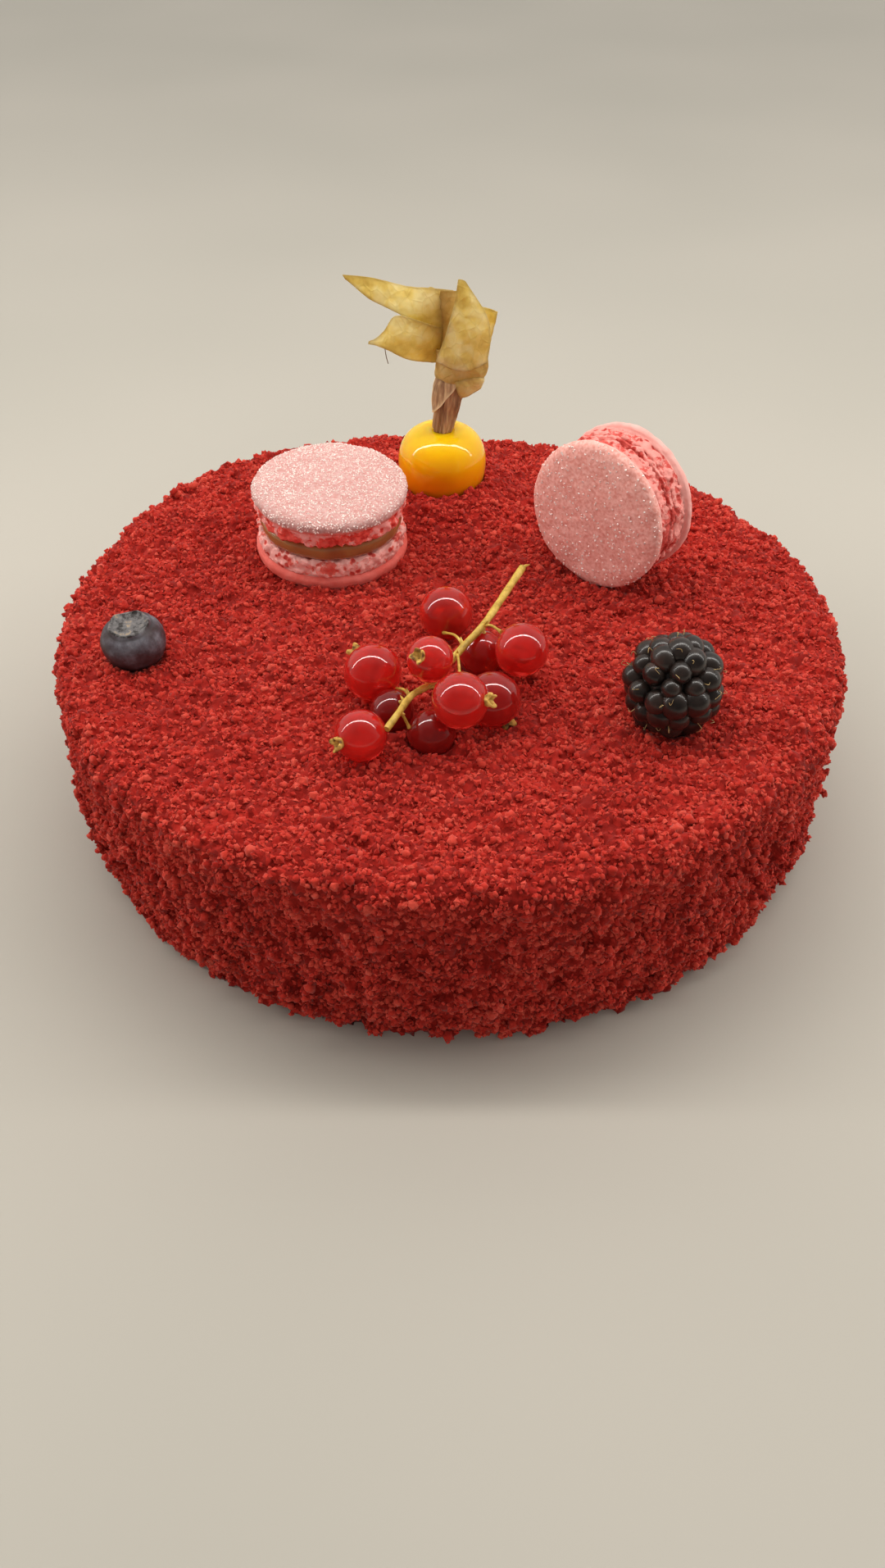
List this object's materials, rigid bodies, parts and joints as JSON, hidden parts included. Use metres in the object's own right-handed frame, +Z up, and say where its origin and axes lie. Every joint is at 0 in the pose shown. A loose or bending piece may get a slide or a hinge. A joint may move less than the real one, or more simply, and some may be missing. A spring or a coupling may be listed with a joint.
{
  "type": "fruit layer cake",
  "caption": "Round crumb-coated red cake with macarons, a golden berry in its husk, a sprig of currants and dark berries on top.",
  "frame": {"origin": "middle of the flat underside", "axes": "+Z up, -Y towards the front of the cake, where the currants lie"},
  "size_m": [0.184, 0.184, 0.104],
  "materials": {
    "crumbs": "rough red sponge crumbs",
    "macaron": "matt, dusted with fine sugar",
    "caramel": "glossy",
    "golden_skin": "smooth and waxy",
    "dry_husk": "dry and papery",
    "stem": "satin",
    "currant_skin": "glossy and see-through",
    "blue_skin": "dusty bloom",
    "dark_skin": "glossy"
  },
  "bodies": {
    "root": {"cake": "crumbs", "lying_macaron_upper_shell": "macaron", "lying_macaron_caramel": "caramel", "lying_macaron_lower_shell": "macaron", "leaning_macaron_front_shell": "macaron", "leaning_macaron_filling": "caramel", "leaning_macaron_back_shell": "macaron", "golden_berry": "golden_skin", "golden_berry_husk": "dry_husk", "currant_stem": "stem", "currant_1": "currant_skin", "currant_2": "currant_skin", "currant_3": "currant_skin", "currant_4": "currant_skin", "currant_5": "currant_skin", "currant_6": "currant_skin", "currant_7": "currant_skin", "currant_8": "currant_skin", "currant_9": "currant_skin", "currant_10": "currant_skin", "blueberry": "blue_skin", "bramble": "dark_skin"}
  },
  "joints": []
}
